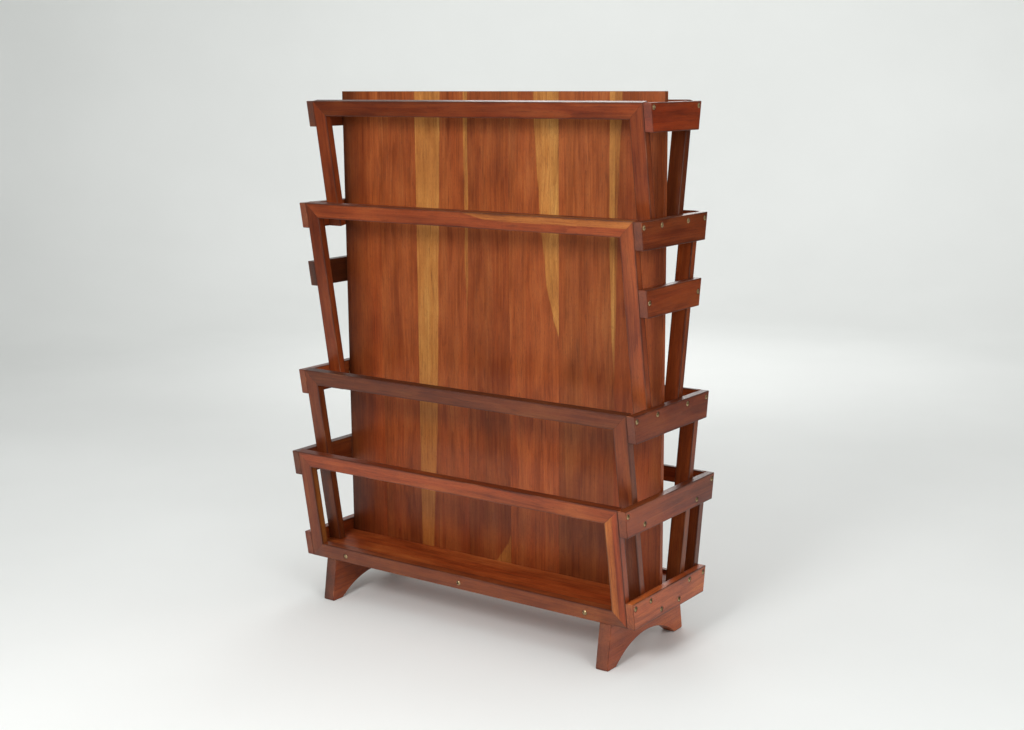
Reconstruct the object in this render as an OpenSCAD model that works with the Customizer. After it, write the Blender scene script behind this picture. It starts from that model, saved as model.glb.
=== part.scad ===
// Double-sided newspaper and magazine rack: four leaning frames on each side of a
// tall middle panel, tied together at the ends by level boards, on two arched feet.
// X runs along the rack, Y from front to back, Z up. The origin is on the floor,
// under the middle. Every left and right, front and back pair is a mirror image.

/* [Overall] */
// Length of the rack over the outside of its end rails
overall_length = 595; // [500:5:700]
// Lean of every front and back frame from upright, in degrees
frame_lean = 9.1; // [8:0.1:9.5]

/* [Stock] */
// Width of the sticks that the frames are made of
stick_width = 22.5; // [18:0.5:26]
// Thickness of the sticks that the frames are made of
stick_thickness = 12.5; // [10:0.5:14]
// Height of an end rail
end_rail_height = 38; // [34:1:42]
// Thickness of an end rail
end_rail_thickness = 12.5; // [10:0.5:16]

/* [Tiers] */
// Height of the top of tier 1, the highest, above the floor
tier1_top = 762.5; // [740:0.5:765]
// Height of the top of tier 2
tier2_top = 612.5; // [600:0.5:630]
// Height of the top of tier 3
tier3_top = 360; // [350:0.5:370]
// Height of the top of tier 4, the lowest
tier4_top = 236.5; // [230:0.5:245]
// Height of the top of the extra end rail half-way down tier 2
middle_rail_top = 523; // [500:0.5:540]
// Depth over the front and back faces at the top of tier 1
tier1_depth = 133.5; // [130:0.5:140]
// Depth over the front and back faces at the top of tier 2
tier2_depth = 178; // [174:0.5:184]
// Depth over the front and back faces at the top of tier 3
tier3_depth = 205; // [202:0.5:210]
// Depth over the front and back faces at the top of tier 4
tier4_depth = 246; // [243:0.5:250]

/* [Panel] */
// Height of the top of the middle panel above the floor
panel_top = 776; // [770:1:800]
// Gap between each end of the middle panel and the end rails
panel_end_gap = 3; // [1:0.5:6]
// Thickness of the middle panel
panel_thickness = 7.5; // [7:0.5:10]

/* [Base] */
// Height of the foot boards, from the floor to the underside of the shelf
foot_height = 65; // [60:1:75]
// Thickness of a foot board
foot_thickness = 19; // [16:0.5:22]
// How far a foot board stands in from the end of the frames
foot_inset = 26; // [23:1:60]
// How far the ends of a foot board stand back from the frames' faces
foot_setback = 2; // [1:0.5:4]
// Length of the arch under a foot board, along the floor
arch_span = 162; // [140:1:166]
// Height of the arch under a foot board
arch_rise = 28.5; // [20:0.5:32]
// Thickness of the bottom shelf
shelf_thickness = 19; // [16:0.5:19]

/* [Fasteners] */
// Diameter of a wood screw's domed head
screw_head_diameter = 6.8; // [6:0.1:7.2]
// Diameter of the hollow that a domed head sits in
screw_hollow_diameter = 8.2; // [7.6:0.1:8.6]
// Diameter of a wood screw's shank
screw_shank_diameter = 3.5; // [3:0.1:4]
// Length of a wood screw in the wood
screw_length = 28; // [25:1:30]

/* [Hidden] */

curve_steps = 48;
joint_gap = 0.05;
lean_rise = tan(frame_lean);
lean_cos = cos(frame_lean);
level_thickness = stick_thickness / lean_cos;

frame_length = overall_length - 2 * end_rail_thickness;
half_frame = frame_length / 2;
panel_length = frame_length - 2 * panel_end_gap;
foot_middle = half_frame - foot_inset - foot_thickness / 2;
shelf_top = foot_height + shelf_thickness;
bottom_rail_top = foot_height + end_rail_height;

// The rows below are indexed by tier, 1 to 4; row 0 is unused.
tier_top = [0, tier1_top, tier2_top, tier3_top, tier4_top];
tier_half_depth = [0, tier1_depth, tier2_depth, tier3_depth, tier4_depth] / 2;
tier_foot = [
    0,
    tier2_top - end_rail_height,
    tier3_top - end_rail_height,
    shelf_top,
    foot_height
];

// Distance from the middle plane to the outer face of a tier, at a height.
function face_at(tier, height) =
    tier_half_depth[tier] - (tier_top[tier] - height) * lean_rise;

// Distance from the middle plane to the middle of a tier's sticks, at a height.
function stick_middle_at(tier, height) = face_at(tier, height) - level_thickness / 2;

// Glue lines between the panel's boards, as parts of the panel's length.
panel_seams = [0, 0.125, 0.25, 0.415, 0.55, 0.702, 0.864, 1];

// Each end screw is [distance from the middle plane, height].
screw_drop = 8;
top_screw_drop = 6;
middle_screw_drop = 18;
low_screw_rise = shelf_thickness / 2;
shelf_screw_spacing = 49;

function screw_in_tier(tier, height) = [stick_middle_at(tier, height), height];

end_screw_rows = [
    screw_in_tier(1, tier1_top - top_screw_drop),
    screw_in_tier(2, tier2_top - screw_drop),
    screw_in_tier(1, tier2_top - screw_drop),
    screw_in_tier(2, middle_rail_top - middle_screw_drop),
    screw_in_tier(3, tier3_top - screw_drop),
    screw_in_tier(2, tier3_top - screw_drop),
    screw_in_tier(4, tier4_top - screw_drop),
    screw_in_tier(3, tier4_top - end_rail_height + low_screw_rise),
    screw_in_tier(4, bottom_rail_top - screw_drop),
    screw_in_tier(3, bottom_rail_top - screw_drop),
    [shelf_screw_spacing / 2, foot_height + low_screw_rise]
];

// Three screws through each bottom rail into the edge of the shelf.
rail_screw_spacing = frame_length * 0.382;
rail_screw_height = foot_height + low_screw_rise;

// Screws up through the shelf into the bottom edge of the panel, clear of its seams.
panel_screw_places = [-0.35, -0.175, 0.02, 0.175, 0.35] * panel_length;
panel_screw_length = 42;
panel_screw_shank = 3;
panel_screw_head = 6;

// Pins between the panel's ends and the end rails of tiers 1, 2 and 3.
pin_diameter = 4;
pin_length = 20;
pin_start = panel_length / 2 - 11;
pin_heights = [for (tier = [1, 2, 3]) tier_top[tier] - end_rail_height / 2];

// Dowels between the foot boards and the shelf.
dowel_diameter = 8;
dowel_length = 30;
dowel_spacing = 58;
dowel_base = foot_height - 18;

// Screw head: a shallow dome over a cone, sunk a little in a hollow, with a cross recess.
head_sink = 0.4;
head_dome = 1.6;
head_cone = 1.8;
recess_length = 4;
recess_width = 0.8;
recess_depth = 1.6;
tip_length = 4;

// ---- Fastener shapes. Each points along +Z from the surface at Z = 0, head up ----

module domed_screw() {
    translate([0, 0, -head_sink])
        difference() {
            rotate_extrude($fn = curve_steps) domed_screw_half();
            for (turn = [0, 90])
                rotate([0, 0, turn])
                    translate([-recess_length / 2, -recess_width / 2, head_dome - recess_depth])
                        cube([recess_length, recess_width, recess_depth + 1]);
        }
}

module domed_screw_half() {
    head_radius = screw_head_diameter / 2;
    shank_radius = screw_shank_diameter / 2;
    dome_radius = (head_radius * head_radius + head_dome * head_dome) / (2 * head_dome);
    intersection() {
        translate([0, head_dome - dome_radius]) circle(dome_radius, $fn = 4 * curve_steps);
        square([head_radius, head_dome]);
    }
    polygon([
        [0, 0],
        [head_radius, 0],
        [shank_radius, -head_cone],
        [shank_radius, tip_length - screw_length],
        [0, -screw_length]
    ]);
}

// The hole that a domed screw fills, with the hollow round its head.
module domed_screw_hole() {
    hollow_radius = screw_hollow_diameter / 2;
    head_radius = screw_head_diameter / 2 + joint_gap;
    shank_radius = screw_shank_diameter / 2 + joint_gap;
    hollow_floor = -head_sink - joint_gap;
    rotate_extrude($fn = curve_steps)
        polygon([
            [0, 1],
            [hollow_radius, 1],
            [hollow_radius, hollow_floor],
            [head_radius, hollow_floor],
            [shank_radius, hollow_floor - head_cone],
            [shank_radius, tip_length - screw_length - head_sink],
            [0, -screw_length - head_sink - joint_gap]
        ]);
}

module flat_screw(gap = 0) {
    head_radius = panel_screw_head / 2 + gap;
    shank_radius = panel_screw_shank / 2 + gap;
    rotate_extrude($fn = curve_steps)
        polygon([
            [0, gap],
            [head_radius, gap],
            [shank_radius, -head_cone],
            [shank_radius, tip_length - panel_screw_length],
            [0, -panel_screw_length - gap]
        ]);
}

// ---- Where the fasteners go ----

// Turns a shape that points up into one that stands out of the end at side -1 or 1.
module on_end(side) {
    for (row = end_screw_rows, way = [-1, 1])
        translate([side * overall_length / 2, way * row[0], row[1]])
            rotate([0, side * 90, 0])
                children();
}

// Turns a shape that points up into one that stands out of a bottom rail's face.
module on_bottom_rail(way) {
    for (place = [-1, 0, 1])
        translate([
            place * rail_screw_spacing,
            way * face_at(4, rail_screw_height),
            rail_screw_height
        ])
            rotate([-way * (90 + frame_lean), 0, 0])
                children();
}

module under_panel() {
    for (place = panel_screw_places)
        translate([place, 0, foot_height])
            rotate([180, 0, 0])
                children();
}

module pins_at(side, gap = 0) {
    for (height = pin_heights)
        translate([side * (pin_start - gap), 0, height])
            rotate([0, side * 90, 0])
                cylinder(h = pin_length + 2 * gap, d = pin_diameter + 2 * gap, $fn = curve_steps);
}

module dowels_at(side, gap = 0) {
    for (place = [-1, 0, 1])
        translate([side * foot_middle, place * dowel_spacing, dowel_base - gap])
            cylinder(h = dowel_length + 2 * gap, d = dowel_diameter + 2 * gap, $fn = curve_steps);
}

// ---- Frames ----

// Lays a flat shape, drawn with X along the rack and Y up the frame from its top
// edge, as a stick-thick plate in a tier's leaning plane; way is -1 front, 1 back.
module in_tier(tier, way) {
    mirror([0, way > 0 ? 1 : 0, 0])
        translate([0, -tier_half_depth[tier], tier_top[tier]])
            rotate([frame_lean, 0, 0])
                translate([0, stick_thickness, 0])
                    rotate([90, 0, 0])
                        linear_extrude(stick_thickness)
                            children();
}

// Length of a tier's face from its top edge down to where it ends.
function face_length(tier) = (tier_top[tier] - tier_foot[tier]) / lean_cos;

// What a leaning stick loses at its foot to be level there.
foot_trim = 3;

// Blunt tip of the mitres at the foot of tier 4, so that the trim leaves a clean edge.
mitre_tip = 0.5;

module above(height) {
    difference() {
        children();
        translate([-overall_length, -overall_length, height - 2 * foot_trim])
            cube([2 * overall_length, 2 * overall_length, 2 * foot_trim]);
    }
}

// Top rail of a tier, mitred to the stiles at both ends.
module top_rail(tier, way) {
    color([0.46, 0.23, 0.15])
        difference() {
            in_tier(tier, way)
                polygon([
                    [-half_frame, 0],
                    [half_frame, 0],
                    [half_frame - stick_width, -stick_width],
                    [stick_width - half_frame, -stick_width]
                ]);
            on_end(-1) domed_screw_hole();
            on_end(1) domed_screw_hole();
        }
}

// Stile of tier 1, 2 or 3: mitred at the top, plain at the foot.
module stile(tier, way, side) {
    outer = side * half_frame;
    inner = side * (half_frame - stick_width);
    end = -face_length(tier) - (tier == 3 ? foot_trim : 0);
    color([0.44, 0.21, 0.14])
        difference() {
            above(tier == 3 ? shelf_top : 0)
                in_tier(tier, way)
                    polygon([[outer, 0], [inner, -stick_width], [inner, end], [outer, end]]);
            on_end(side) domed_screw_hole();
        }
}

// Stile of tier 4: mitred at the top and to the bottom rail.
module long_stile(way, side) {
    outer = side * half_frame;
    inner = side * (half_frame - stick_width);
    end = -face_length(4);
    color([0.44, 0.21, 0.14])
        difference() {
            in_tier(4, way)
                polygon([
                    [outer, 0],
                    [inner, -stick_width],
                    [inner, end + stick_width],
                    [outer, end + mitre_tip]
                ]);
            on_end(side) domed_screw_hole();
        }
}

// Bottom rail of tier 4, planed level underneath with the shelf and the end rails.
module bottom_rail(way) {
    end = -face_length(4);
    color([0.45, 0.22, 0.15])
        difference() {
            above(foot_height)
                in_tier(4, way)
                    polygon([
                        [stick_width - half_frame, end + stick_width],
                        [half_frame - stick_width, end + stick_width],
                        [half_frame, end + mitre_tip],
                        [half_frame, end - foot_trim],
                        [-half_frame, end - foot_trim],
                        [-half_frame, end + mitre_tip]
                    ]);
            on_bottom_rail(way) domed_screw_hole();
        }
}

// ---- Ends ----

// End rail that ties the front and back sticks of a tier; its ends follow their lean.
module end_rail(tier, top, side) {
    low = top - end_rail_height;
    color([0.50, 0.24, 0.14])
        difference() {
            translate([side > 0 ? half_frame : -half_frame - end_rail_thickness, 0, 0])
                rotate([90, 0, 90])
                    linear_extrude(end_rail_thickness)
                        polygon([
                            [-face_at(tier, top), top],
                            [face_at(tier, top), top],
                            [face_at(tier, low), low],
                            [-face_at(tier, low), low]
                        ]);
            on_end(side) domed_screw_hole();
            pins_at(side, joint_gap);
        }
}

// ---- Panel and base ----

// One of the seven upright boards that are glued edge to edge into the panel.
module panel_board(number) {
    start = (panel_seams[number - 1] - 0.5) * panel_length;
    end = (panel_seams[number] - 0.5) * panel_length;
    color(number % 2 == 0 ? [0.60, 0.33, 0.19] : [0.48, 0.24, 0.15])
        difference() {
            translate([start, -panel_thickness / 2, shelf_top])
                cube([end - start, panel_thickness, panel_top - shelf_top]);
            under_panel() flat_screw(joint_gap);
            pins_at(-1, joint_gap);
            pins_at(1, joint_gap);
        }
}

// Shelf between the frames; its long edges are bevelled to their lean.
module bottom_shelf() {
    under = face_at(4, foot_height) - level_thickness;
    over = face_at(4, shelf_top) - level_thickness;
    color([0.42, 0.19, 0.11])
        difference() {
            translate([-half_frame, 0, 0])
                rotate([90, 0, 90])
                    linear_extrude(frame_length)
                        polygon([
                            [-under, foot_height],
                            [under, foot_height],
                            [over, shelf_top],
                            [-over, shelf_top]
                        ]);
            for (side = [-1, 1]) {
                on_end(side) domed_screw_hole();
                on_bottom_rail(side) domed_screw_hole();
                dowels_at(side, joint_gap);
            }
            under_panel() flat_screw(joint_gap);
        }
}

// Foot board: its ends splay with the frames and an arch leaves a foot at each end.
module foot_board(side) {
    top = face_at(4, foot_height) - foot_setback;
    base = top + foot_height * lean_rise;
    corner = 2;
    arch_radius = (arch_span * arch_span / 4 + arch_rise * arch_rise) / (2 * arch_rise);
    middle = side * foot_middle;
    color([0.43, 0.20, 0.13])
        difference() {
            translate([middle - foot_thickness / 2, 0, 0])
                rotate([90, 0, 90])
                    linear_extrude(foot_thickness)
                        polygon([
                            [-top, foot_height],
                            [top, foot_height],
                            [base - corner * lean_rise, corner],
                            [base - corner, 0],
                            [corner - base, 0],
                            [corner * lean_rise - base, corner]
                        ]);
            translate([middle - foot_thickness, 0, arch_rise - arch_radius])
                rotate([0, 90, 0])
                    cylinder(h = 2 * foot_thickness, r = arch_radius, $fn = 4 * curve_steps);
            dowels_at(side, joint_gap);
        }
}

// ---- Fasteners ----

module end_screws(side) {
    color([0.55, 0.47, 0.36]) on_end(side) domed_screw();
}

module shelf_screws(way) {
    color([0.55, 0.47, 0.36]) on_bottom_rail(way) domed_screw();
}

module panel_screws() {
    color([0.55, 0.47, 0.36]) under_panel() flat_screw();
}

module panel_pins() {
    color([0.72, 0.55, 0.36]) {
        pins_at(-1);
        pins_at(1);
    }
}

module foot_dowels() {
    color([0.72, 0.55, 0.36]) {
        dowels_at(-1);
        dowels_at(1);
    }
}

panel_board(1);  // panel_board_1
panel_board(2);  // panel_board_2
panel_board(3);  // panel_board_3
panel_board(4);  // panel_board_4
panel_board(5);  // panel_board_5
panel_board(6);  // panel_board_6
panel_board(7);  // panel_board_7
bottom_shelf();
foot_board(-1);  // foot_board_left
foot_board(1);  // foot_board_right
top_rail(1, -1);  // front_rail_1
stile(1, -1, -1);  // front_stile_left_1
stile(1, -1, 1);  // front_stile_right_1
top_rail(2, -1);  // front_rail_2
stile(2, -1, -1);  // front_stile_left_2
stile(2, -1, 1);  // front_stile_right_2
top_rail(3, -1);  // front_rail_3
stile(3, -1, -1);  // front_stile_left_3
stile(3, -1, 1);  // front_stile_right_3
top_rail(4, -1);  // front_rail_4
long_stile(-1, -1);  // front_stile_left_4
long_stile(-1, 1);  // front_stile_right_4
bottom_rail(-1);  // front_bottom_rail
top_rail(1, 1);  // back_rail_1
stile(1, 1, -1);  // back_stile_left_1
stile(1, 1, 1);  // back_stile_right_1
top_rail(2, 1);  // back_rail_2
stile(2, 1, -1);  // back_stile_left_2
stile(2, 1, 1);  // back_stile_right_2
top_rail(3, 1);  // back_rail_3
stile(3, 1, -1);  // back_stile_left_3
stile(3, 1, 1);  // back_stile_right_3
top_rail(4, 1);  // back_rail_4
long_stile(1, -1);  // back_stile_left_4
long_stile(1, 1);  // back_stile_right_4
bottom_rail(1);  // back_bottom_rail
end_rail(1, tier1_top, -1);  // end_rail_left_1
end_rail(2, tier2_top, -1);  // end_rail_left_2
end_rail(2, middle_rail_top, -1);  // end_rail_left_middle
end_rail(3, tier3_top, -1);  // end_rail_left_3
end_rail(4, tier4_top, -1);  // end_rail_left_4
end_rail(4, bottom_rail_top, -1);  // end_rail_left_bottom
end_rail(1, tier1_top, 1);  // end_rail_right_1
end_rail(2, tier2_top, 1);  // end_rail_right_2
end_rail(2, middle_rail_top, 1);  // end_rail_right_middle
end_rail(3, tier3_top, 1);  // end_rail_right_3
end_rail(4, tier4_top, 1);  // end_rail_right_4
end_rail(4, bottom_rail_top, 1);  // end_rail_right_bottom
end_screws(-1);  // end_screws_left
end_screws(1);  // end_screws_right
shelf_screws(-1);  // shelf_screws_front
shelf_screws(1);  // shelf_screws_back
panel_screws();
panel_pins();
foot_dowels();
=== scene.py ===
"""Looks for the magazine rack: dressed lumber, brass screws and a pale studio.

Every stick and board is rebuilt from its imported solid's own corners, with rounded
arrises and sunk screw hollows, and carries its grain direction in mesh attributes.
Lengths are in metres unless a name ends in _MM.
"""

import math
import random

import bmesh
import bpy
import numpy as np
from mathutils import Matrix, Vector, noise
from mathutils.geometry import delaunay_2d_cdt


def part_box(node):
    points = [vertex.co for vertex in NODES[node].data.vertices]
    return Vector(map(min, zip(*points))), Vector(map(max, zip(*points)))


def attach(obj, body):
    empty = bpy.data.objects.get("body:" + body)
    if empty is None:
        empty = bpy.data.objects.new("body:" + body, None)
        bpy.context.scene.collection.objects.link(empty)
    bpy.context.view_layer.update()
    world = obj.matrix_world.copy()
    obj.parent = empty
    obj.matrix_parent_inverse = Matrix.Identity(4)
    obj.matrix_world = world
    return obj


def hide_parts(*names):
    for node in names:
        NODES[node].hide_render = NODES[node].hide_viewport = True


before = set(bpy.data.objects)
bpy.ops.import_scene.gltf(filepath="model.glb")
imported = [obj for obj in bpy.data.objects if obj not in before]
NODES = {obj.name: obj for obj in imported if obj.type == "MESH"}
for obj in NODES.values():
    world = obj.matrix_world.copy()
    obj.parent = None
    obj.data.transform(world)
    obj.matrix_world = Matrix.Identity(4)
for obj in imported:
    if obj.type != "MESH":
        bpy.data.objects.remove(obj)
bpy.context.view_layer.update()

MM = 0.001

# ---- Camera, in the rack's own frame ----
CAMERA_AZIMUTH = 35.572
CAMERA_ELEVATION = 10.874
CAMERA_ROLL = -0.422
CAMERA_DISTANCE = 2.2011
CAMERA_AIM_RIGHT = 0.02401
CAMERA_AIM_HEIGHT = 0.38121
CAMERA_LENS_MM = 52.83
SENSOR_WIDTH_MM = 36

# ---- Edges ----
ARRIS = 1.0 * MM
FINE_ARRIS = 0.5 * MM
JOINT_EDGE = 0.22 * MM
GLUE_EDGE = 0.1 * MM
ARRIS_SEGMENTS = 3
ARRIS_STEP = 30 * MM
ARRIS_VARIATION = 0.3
FLAT_ANGLE = math.radians(8)
TOUCH = 0.01 * MM

# ---- Screws ----
SCREW_LENGTH = 28 * MM
SCREW_SINK = 0.4 * MM
SCREW_STEPS = 32
HEAD_RADIUS = 3.4 * MM
HEAD_DOME = 1.6 * MM
HOLLOW_RADIUS = 4.1 * MM
HOLLOW_DEPTH = 0.45 * MM
HOLLOW_STEPS = 40


# ---------------------------------------------------------------- mesh helpers


def cad_bmesh(node):
    """A welded copy of a CAD node's mesh."""
    bm = bmesh.new()
    bm.from_mesh(NODES[node].data)
    bmesh.ops.remove_doubles(bm, verts=bm.verts, dist=TOUCH / 10)
    return bm


def hull_bmesh(node):
    """The outer shape of a convex stick or board: its CAD solid without its holes."""
    bm = cad_bmesh(node)
    bmesh.ops.delete(bm, geom=bm.edges, context="EDGES_FACES")
    hull = bmesh.ops.convex_hull(bm, input=bm.verts)
    inside = {g for g in hull["geom_interior"] + hull["geom_unused"]}
    loose = [g for g in inside if isinstance(g, bmesh.types.BMVert)]
    bmesh.ops.delete(bm, geom=loose, context="VERTS")
    bmesh.ops.dissolve_limit(
        bm, angle_limit=math.radians(0.5), verts=bm.verts, edges=bm.edges
    )
    bmesh.ops.recalc_face_normals(bm, faces=bm.faces)
    return bm


def outline_bmesh(node):
    """A board with a curved outline: its side face, extruded over its thickness."""
    low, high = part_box(node)
    cad = cad_bmesh(node)
    side = {f for f in cad.faces if f.normal.x < -0.999 and f.verts[0].co.x < low.x + TOUCH}
    after = {}
    for face in side:
        for loop in face.loops:
            if not any(f in side for f in loop.edge.link_faces if f is not face):
                after[loop.vert] = loop.link_loop_next.vert
    vert = next(iter(after))
    outline = [vert.co.copy()]
    while after[vert] is not next(iter(after)):
        vert = after[vert]
        outline.append(vert.co.copy())
    cad.free()
    bm = bmesh.new()
    near = [bm.verts.new(p) for p in outline]
    far = [bm.verts.new((high.x, p.y, p.z)) for p in outline]
    bm.faces.new(near)
    bm.faces.new(reversed(far))
    for a, b, c, d in zip(near, near[1:] + near[:1], far[1:] + far[:1], far):
        bm.faces.new((a, d, c, b))
    bmesh.ops.dissolve_limit(
        bm, angle_limit=math.radians(0.5), verts=bm.verts, edges=bm.edges
    )
    bmesh.ops.recalc_face_normals(bm, faces=bm.faces)
    return bm


def lumber_axes(bm):
    """(along the grain, across the widest face, through it) of a stick or board."""
    longest = max(bm.edges, key=lambda e: e.calc_length())
    along = (longest.verts[1].co - longest.verts[0].co).normalized()
    if max(along, key=abs) < 0:
        along = -along
    widest = max(bm.faces, key=lambda f: f.calc_area())
    through = widest.normal.copy()
    return along, through.cross(along).normalized(), through


def slice_across(bm, along, step):
    """Cuts cross loops into the mesh, about every step along it."""
    places = [v.co.dot(along) for v in bm.verts]
    low, high = min(places), max(places)
    count = max(1, round((high - low) / step))
    for i in range(1, count):
        bmesh.ops.bisect_plane(
            bm,
            geom=bm.verts[:] + bm.edges[:] + bm.faces[:],
            dist=TOUCH,
            plane_co=along * (low + (high - low) * i / count),
            plane_no=along,
        )


def planes_of(bm):
    """Each flat face as (normal, distance)."""
    return [(f.normal.copy(), f.normal.dot(f.verts[0].co)) for f in bm.faces]


def round_edges(bm, width_of):
    """A new mesh with each sharp edge rounded over to the width that width_of gives it."""
    weight = bm.edges.layers.float.new("bevel_weight_edge")
    for edge in bm.edges:
        if edge.calc_face_angle(0) > FLAT_ANGLE:
            middle = (edge.verts[0].co + edge.verts[1].co) / 2
            worn = 1 + ARRIS_VARIATION * noise.noise(middle / (40 * MM))
            edge[weight] = min(1, width_of(edge, middle) * worn / (2 * ARRIS))
    mesh = bpy.data.meshes.new("sharp")
    bm.to_mesh(mesh)
    bm.free()
    obj = bpy.data.objects.new("sharp", mesh)
    bpy.context.scene.collection.objects.link(obj)
    bevel = obj.modifiers.new("Arrises", "BEVEL")
    bevel.limit_method = "WEIGHT"
    bevel.width = 2 * ARRIS
    bevel.segments = ARRIS_SEGMENTS
    bevel.use_clamp_overlap = False
    rounded = bpy.data.meshes.new_from_object(
        obj.evaluated_get(bpy.context.evaluated_depsgraph_get())
    )
    bpy.data.objects.remove(obj)
    bpy.data.meshes.remove(mesh)
    return rounded


def flat_axes(normal):
    """Two axes that lie in the plane with this normal."""
    first = normal.orthogonal().normalized()
    return first, normal.cross(first)


def circle(centre, axes, radius, steps):
    """Points round a circle."""
    turn = 2 * math.pi / steps
    return [
        centre + (axes[0] * math.cos(i * turn) + axes[1] * math.sin(i * turn)) * radius
        for i in range(steps)
    ]


def fill_between(bm, outline, holes, axes, normal):
    """Fills a flat region that has holes in it; outline and holes are loops of vertices."""
    loops = [outline, *holes]
    verts = [v for loop in loops for v in loop]
    flat = [Vector((v.co.dot(axes[0]), v.co.dot(axes[1]))) for v in verts]
    edges, start = [], 0
    for loop in loops:
        size = len(loop)
        edges += [(start + i, start + (i + 1) % size) for i in range(size)]
        start += size
    found = delaunay_2d_cdt(flat, edges, [], 1, 1e-9)
    original = [ids[0] for ids in found[3]]
    owner = [i for i, loop in enumerate(loops) for _ in loop]
    for triangle in found[2]:
        corners = [original[i] for i in triangle]
        owners = {owner[i] for i in corners}
        if len(owners) == 1 and owners != {0}:
            continue
        face = bm.faces.new([verts[i] for i in corners])
        face.normal_update()
        if face.normal.dot(normal) < 0:
            face.normal_flip()


def ordered_loop(edges):
    """The vertices of a closed chain of edges, in order."""
    near = {}
    for edge in edges:
        for vert in edge.verts:
            near.setdefault(vert, []).append(edge.other_vert(vert))
    start = edges[0].verts[0]
    loop, last, here = [start], None, start
    while True:
        ahead = next(v for v in near[here] if v is not last)
        if ahead is start:
            return loop
        loop.append(ahead)
        last, here = here, ahead


def join_rings(bm, first, second):
    """A band of faces between two rings of the same number of vertices."""
    for a, b, c, d in zip(first, first[1:] + first[:1], second[1:] + second[:1], second):
        bm.faces.new((a, b, c, d))


HOLLOW_PROFILE = [
    (HOLLOW_RADIUS + 0.3 * MM, 0),
    (HOLLOW_RADIUS + 0.1 * MM, 0.06 * MM),
    (HOLLOW_RADIUS, 0.2 * MM),
    (HOLLOW_RADIUS - 0.05 * MM, HOLLOW_DEPTH),
    (HEAD_RADIUS - 0.6 * MM, HOLLOW_DEPTH),
]


def faces_under(heads, faces, along):
    """Groups of (faces, heads): each group's hollows lie inside its own faces."""
    groups = []
    for head in heads:
        place = head["place"].dot(along)
        reach = HOLLOW_RADIUS + MM
        under = {
            f
            for f in faces
            if min(v.co.dot(along) for v in f.verts) < place + reach
            and max(v.co.dot(along) for v in f.verts) > place - reach
        }
        shared = [g for g in groups if g[0] & under]
        groups = [g for g in groups if not g[0] & under]
        groups.append(
            (under.union(*(g[0] for g in shared)), sum((g[1] for g in shared), [head]))
        )
    return groups


def sink_hollows(bm, heads, along):
    """Sinks a shallow hollow with a softened rim round each screw head into its face."""
    out = heads[0]["axis"]
    axes = flat_axes(out)
    level = max(v.co.dot(out) for v in bm.verts)
    flat = [
        f
        for f in bm.faces
        if f.normal.dot(out) > 0.9999 and abs(f.verts[0].co.dot(out) - level) < TOUCH
    ]
    for faces, group in faces_under(heads, flat, along):
        rim = [
            e
            for e in {e for f in faces for e in f.edges}
            if sum(f in faces for f in e.link_faces) == 1
        ]
        outline = ordered_loop(rim)
        bmesh.ops.delete(bm, geom=list(faces), context="FACES")
        mouths = []
        for head in group:
            centre = head["place"] + out * (level - head["place"].dot(out))
            rings = [
                [
                    bm.verts.new(p)
                    for p in circle(centre - out * depth, axes, radius, HOLLOW_STEPS)
                ]
                for radius, depth in HOLLOW_PROFILE
            ]
            for first, second in zip(rings, rings[1:]):
                join_rings(bm, first, second)
            bm.faces.new(rings[-1])
            mouths.append(rings[0])
        fill_between(bm, outline, mouths, axes, out)
    bmesh.ops.recalc_face_normals(bm, faces=bm.faces)


def smooth_with_flat_faces(obj):
    """Smooth shading that keeps wide faces flat and rounds only the arrises."""
    obj.data.polygons.foreach_set("use_smooth", [True] * len(obj.data.polygons))
    weighted = obj.modifiers.new("Flat faces", "WEIGHTED_NORMAL")
    weighted.weight = 100
    weighted.keep_sharp = True


def add_piece(name, mesh, material, replaced):
    """Puts a finished mesh into the scene as a piece that stands for a CAD node."""
    mesh.name = name
    mesh.materials.clear()
    mesh.materials.append(material)
    obj = bpy.data.objects.new(name, mesh)
    bpy.context.scene.collection.objects.link(obj)
    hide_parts(replaced)
    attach(obj, "root")
    return obj


# -------------------------------------------------------------- screw positions


def loose_parts(node):
    """The vertices of each separate solid in a CAD node."""
    bm = cad_bmesh(node)
    left, parts = set(bm.verts), []
    while left:
        part, edge_of = [], [left.pop()]
        while edge_of:
            vert = edge_of.pop()
            part.append(vert.co.copy())
            for edge in vert.link_edges:
                other = edge.other_vert(vert)
                if other in left:
                    left.remove(other)
                    edge_of.append(other)
        parts.append(part)
    bm.free()
    return parts


def screw_heads(node, wood):
    """Where each screw of a node stands on its wood: the place of its head, and its axis."""
    hull = hull_bmesh(wood)
    normals = [f.normal.copy() for f in hull.faces]
    hull.free()
    heads = []
    for part in loose_parts(node):
        middle = sum(part, Vector()) / len(part)
        tip = max(part, key=lambda p: (p - middle).length)
        axis = max(normals, key=lambda n: n.dot(middle - tip))
        place = tip + axis * (SCREW_LENGTH + SCREW_SINK)
        heads.append({"place": place, "axis": axis})
    return sorted(heads, key=lambda h: tuple(round(c, 4) for c in h["place"]))


END_HEADS = {
    side: screw_heads(f"end_screws_{side}", f"end_rail_{side}_2")
    for side in ("left", "right")
}
RAIL_HEADS = {
    way: screw_heads(f"shelf_screws_{way}", f"{way}_bottom_rail")
    for way in ("front", "back")
}


def heads_on(node, heads):
    """The screw heads that stand on one piece's face."""
    low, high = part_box(node)
    slack = 0.6 * MM
    return [
        h
        for h in heads
        if all(a - slack < c < b + slack for a, c, b in zip(low, h["place"], high))
    ]


# ------------------------------------------------------------ shader node helpers


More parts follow.
